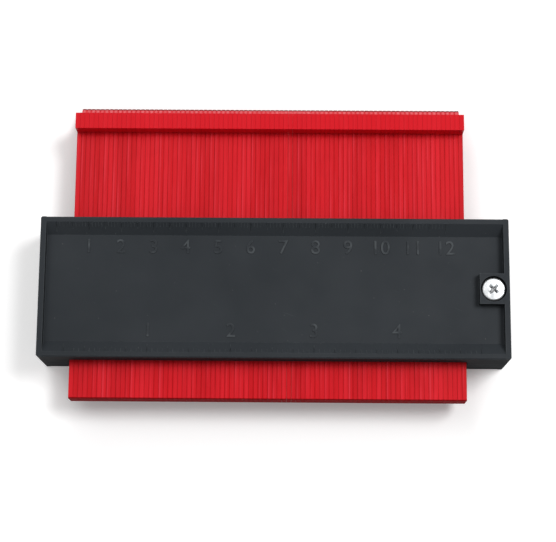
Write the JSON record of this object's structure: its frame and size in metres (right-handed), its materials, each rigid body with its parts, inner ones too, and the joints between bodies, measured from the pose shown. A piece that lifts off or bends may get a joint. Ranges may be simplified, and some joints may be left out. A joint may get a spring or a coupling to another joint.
{
  "type": "contour gauge",
  "caption": "Red-leaf contour gauge with a dark grey split body, thin sliding leaves with cross heads and a cross-recess screw.",
  "frame": {"origin": "on the rear rim plane that the gauge lies on, under the middle of the whole outline with the leaves as shown", "axes": "+X along the row of leaves, towards the clamp screw; +Y along the leaves' travel, towards their cross heads; +Z from the rear rim to the front rim"},
  "size_m": [0.144, 0.0958, 0.0205],
  "materials": {
    "shell_plastic": "moulded satin",
    "leaf_plastic": "semi-gloss",
    "screw_zinc": "zinc plated",
    "strip_rubber": "matte"
  },
  "bodies": {
    "gauge_body": {"front_shell": "shell_plastic", "rear_shell": "shell_plastic", "clamp_screw": "screw_zinc", "front_friction_strip": "strip_rubber", "rear_friction_strip": "strip_rubber"},
    "leaf_pair_01": {"leaf_pair_01": "leaf_plastic"},
    "leaf_pair_02": {"leaf_pair_02": "leaf_plastic"},
    "leaf_pair_03": {"leaf_pair_03": "leaf_plastic"},
    "leaf_pair_04": {"leaf_pair_04": "leaf_plastic"},
    "leaf_pair_05": {"leaf_pair_05": "leaf_plastic"},
    "leaf_pair_06": {"leaf_pair_06": "leaf_plastic"},
    "leaf_pair_07": {"leaf_pair_07": "leaf_plastic"},
    "leaf_pair_08": {"leaf_pair_08": "leaf_plastic"},
    "leaf_pair_09": {"leaf_pair_09": "leaf_plastic"},
    "leaf_pair_10": {"leaf_pair_10": "leaf_plastic"},
    "leaf_pair_11": {"leaf_pair_11": "leaf_plastic"},
    "leaf_pair_12": {"leaf_pair_12": "leaf_plastic"},
    "leaf_pair_13": {"leaf_pair_13": "leaf_plastic"},
    "leaf_pair_14": {"leaf_pair_14": "leaf_plastic"},
    "leaf_pair_15": {"leaf_pair_15": "leaf_plastic"},
    "leaf_pair_16": {"leaf_pair_16": "leaf_plastic"},
    "leaf_pair_17": {"leaf_pair_17": "leaf_plastic"},
    "leaf_pair_18": {"leaf_pair_18": "leaf_plastic"},
    "leaf_pair_19": {"leaf_pair_19": "leaf_plastic"},
    "leaf_pair_20": {"leaf_pair_20": "leaf_plastic"},
    "leaf_pair_21": {"leaf_pair_21": "leaf_plastic"},
    "leaf_pair_22": {"leaf_pair_22": "leaf_plastic"},
    "leaf_pair_23": {"leaf_pair_23": "leaf_plastic"},
    "leaf_pair_24": {"leaf_pair_24": "leaf_plastic"},
    "leaf_pair_25": {"leaf_pair_25": "leaf_plastic"},
    "leaf_pair_26": {"leaf_pair_26": "leaf_plastic"},
    "leaf_pair_27": {"leaf_pair_27": "leaf_plastic"},
    "leaf_pair_28": {"leaf_pair_28": "leaf_plastic"},
    "leaf_pair_29": {"leaf_pair_29": "leaf_plastic"},
    "leaf_pair_30": {"leaf_pair_30": "leaf_plastic"},
    "leaf_pair_31": {"leaf_pair_31": "leaf_plastic"},
    "leaf_pair_32": {"leaf_pair_32": "leaf_plastic"},
    "leaf_pair_33": {"leaf_pair_33": "leaf_plastic"},
    "leaf_pair_34": {"leaf_pair_34": "leaf_plastic"},
    "leaf_pair_35": {"leaf_pair_35": "leaf_plastic"},
    "leaf_pair_36": {"leaf_pair_36": "leaf_plastic"},
    "leaf_pair_37": {"leaf_pair_37": "leaf_plastic"},
    "leaf_pair_38": {"leaf_pair_38": "leaf_plastic"},
    "leaf_pair_39": {"leaf_pair_39": "leaf_plastic"},
    "leaf_pair_40": {"leaf_pair_40": "leaf_plastic"},
    "leaf_pair_41": {"leaf_pair_41": "leaf_plastic"},
    "leaf_pair_42": {"leaf_pair_42": "leaf_plastic"}
  },
  "joints": [
    {"name": "leaf_pair_01_slide", "type": "slide", "parent": "gauge_body", "child": "leaf_pair_01", "axis": [0, 1, 0], "range_m": [-0.0287, 0.0118]},
    {"name": "leaf_pair_02_slide", "type": "slide", "parent": "gauge_body", "child": "leaf_pair_02", "axis": [0, 1, 0], "range_m": [-0.0287, 0.0118]},
    {"name": "leaf_pair_03_slide", "type": "slide", "parent": "gauge_body", "child": "leaf_pair_03", "axis": [0, 1, 0], "range_m": [-0.0287, 0.0118]},
    {"name": "leaf_pair_04_slide", "type": "slide", "parent": "gauge_body", "child": "leaf_pair_04", "axis": [0, 1, 0], "range_m": [-0.0287, 0.0118]},
    {"name": "leaf_pair_05_slide", "type": "slide", "parent": "gauge_body", "child": "leaf_pair_05", "axis": [0, 1, 0], "range_m": [-0.0287, 0.0118]},
    {"name": "leaf_pair_06_slide", "type": "slide", "parent": "gauge_body", "child": "leaf_pair_06", "axis": [0, 1, 0], "range_m": [-0.0287, 0.0118]},
    {"name": "leaf_pair_07_slide", "type": "slide", "parent": "gauge_body", "child": "leaf_pair_07", "axis": [0, 1, 0], "range_m": [-0.0287, 0.0118]},
    {"name": "leaf_pair_08_slide", "type": "slide", "parent": "gauge_body", "child": "leaf_pair_08", "axis": [0, 1, 0], "range_m": [-0.0287, 0.0118]},
    {"name": "leaf_pair_09_slide", "type": "slide", "parent": "gauge_body", "child": "leaf_pair_09", "axis": [0, 1, 0], "range_m": [-0.0287, 0.0118]},
    {"name": "leaf_pair_10_slide", "type": "slide", "parent": "gauge_body", "child": "leaf_pair_10", "axis": [0, 1, 0], "range_m": [-0.0287, 0.0118]},
    {"name": "leaf_pair_11_slide", "type": "slide", "parent": "gauge_body", "child": "leaf_pair_11", "axis": [0, 1, 0], "range_m": [-0.0287, 0.0118]},
    {"name": "leaf_pair_12_slide", "type": "slide", "parent": "gauge_body", "child": "leaf_pair_12", "axis": [0, 1, 0], "range_m": [-0.0287, 0.0118]},
    {"name": "leaf_pair_13_slide", "type": "slide", "parent": "gauge_body", "child": "leaf_pair_13", "axis": [0, 1, 0], "range_m": [-0.0287, 0.0118]},
    {"name": "leaf_pair_14_slide", "type": "slide", "parent": "gauge_body", "child": "leaf_pair_14", "axis": [0, 1, 0], "range_m": [-0.0287, 0.0118]},
    {"name": "leaf_pair_15_slide", "type": "slide", "parent": "gauge_body", "child": "leaf_pair_15", "axis": [0, 1, 0], "range_m": [-0.0287, 0.0118]},
    {"name": "leaf_pair_16_slide", "type": "slide", "parent": "gauge_body", "child": "leaf_pair_16", "axis": [0, 1, 0], "range_m": [-0.0287, 0.0118]},
    {"name": "leaf_pair_17_slide", "type": "slide", "parent": "gauge_body", "child": "leaf_pair_17", "axis": [0, 1, 0], "range_m": [-0.0287, 0.0118]},
    {"name": "leaf_pair_18_slide", "type": "slide", "parent": "gauge_body", "child": "leaf_pair_18", "axis": [0, 1, 0], "range_m": [-0.0287, 0.0118]},
    {"name": "leaf_pair_19_slide", "type": "slide", "parent": "gauge_body", "child": "leaf_pair_19", "axis": [0, 1, 0], "range_m": [-0.0287, 0.0118]},
    {"name": "leaf_pair_20_slide", "type": "slide", "parent": "gauge_body", "child": "leaf_pair_20", "axis": [0, 1, 0], "range_m": [-0.0287, 0.0118]},
    {"name": "leaf_pair_21_slide", "type": "slide", "parent": "gauge_body", "child": "leaf_pair_21", "axis": [0, 1, 0], "range_m": [-0.0287, 0.0118]},
    {"name": "leaf_pair_22_slide", "type": "slide", "parent": "gauge_body", "child": "leaf_pair_22", "axis": [0, 1, 0], "range_m": [-0.0287, 0.0118]},
    {"name": "leaf_pair_23_slide", "type": "slide", "parent": "gauge_body", "child": "leaf_pair_23", "axis": [0, 1, 0], "range_m": [-0.0287, 0.0118]},
    {"name": "leaf_pair_24_slide", "type": "slide", "parent": "gauge_body", "child": "leaf_pair_24", "axis": [0, 1, 0], "range_m": [-0.0287, 0.0118]},
    {"name": "leaf_pair_25_slide", "type": "slide", "parent": "gauge_body", "child": "leaf_pair_25", "axis": [0, 1, 0], "range_m": [-0.0287, 0.0118]},
    {"name": "leaf_pair_26_slide", "type": "slide", "parent": "gauge_body", "child": "leaf_pair_26", "axis": [0, 1, 0], "range_m": [-0.0287, 0.0118]},
    {"name": "leaf_pair_27_slide", "type": "slide", "parent": "gauge_body", "child": "leaf_pair_27", "axis": [0, 1, 0], "range_m": [-0.0287, 0.0118]},
    {"name": "leaf_pair_28_slide", "type": "slide", "parent": "gauge_body", "child": "leaf_pair_28", "axis": [0, 1, 0], "range_m": [-0.0287, 0.0118]},
    {"name": "leaf_pair_29_slide", "type": "slide", "parent": "gauge_body", "child": "leaf_pair_29", "axis": [0, 1, 0], "range_m": [-0.0287, 0.0118]},
    {"name": "leaf_pair_30_slide", "type": "slide", "parent": "gauge_body", "child": "leaf_pair_30", "axis": [0, 1, 0], "range_m": [-0.0287, 0.0118]},
    {"name": "leaf_pair_31_slide", "type": "slide", "parent": "gauge_body", "child": "leaf_pair_31", "axis": [0, 1, 0], "range_m": [-0.0287, 0.0118]},
    {"name": "leaf_pair_32_slide", "type": "slide", "parent": "gauge_body", "child": "leaf_pair_32", "axis": [0, 1, 0], "range_m": [-0.0287, 0.0118]},
    {"name": "leaf_pair_33_slide", "type": "slide", "parent": "gauge_body", "child": "leaf_pair_33", "axis": [0, 1, 0], "range_m": [-0.0287, 0.0118]},
    {"name": "leaf_pair_34_slide", "type": "slide", "parent": "gauge_body", "child": "leaf_pair_34", "axis": [0, 1, 0], "range_m": [-0.0287, 0.0118]},
    {"name": "leaf_pair_35_slide", "type": "slide", "parent": "gauge_body", "child": "leaf_pair_35", "axis": [0, 1, 0], "range_m": [-0.0287, 0.0118]},
    {"name": "leaf_pair_36_slide", "type": "slide", "parent": "gauge_body", "child": "leaf_pair_36", "axis": [0, 1, 0], "range_m": [-0.0287, 0.0118]},
    {"name": "leaf_pair_37_slide", "type": "slide", "parent": "gauge_body", "child": "leaf_pair_37", "axis": [0, 1, 0], "range_m": [-0.0287, 0.0118]},
    {"name": "leaf_pair_38_slide", "type": "slide", "parent": "gauge_body", "child": "leaf_pair_38", "axis": [0, 1, 0], "range_m": [-0.0287, 0.0118]},
    {"name": "leaf_pair_39_slide", "type": "slide", "parent": "gauge_body", "child": "leaf_pair_39", "axis": [0, 1, 0], "range_m": [-0.0287, 0.0118]},
    {"name": "leaf_pair_40_slide", "type": "slide", "parent": "gauge_body", "child": "leaf_pair_40", "axis": [0, 1, 0], "range_m": [-0.0287, 0.0118]},
    {"name": "leaf_pair_41_slide", "type": "slide", "parent": "gauge_body", "child": "leaf_pair_41", "axis": [0, 1, 0], "range_m": [-0.0287, 0.0118]},
    {"name": "leaf_pair_42_slide", "type": "slide", "parent": "gauge_body", "child": "leaf_pair_42", "axis": [0, 1, 0], "range_m": [-0.0287, 0.0118]}
  ]
}
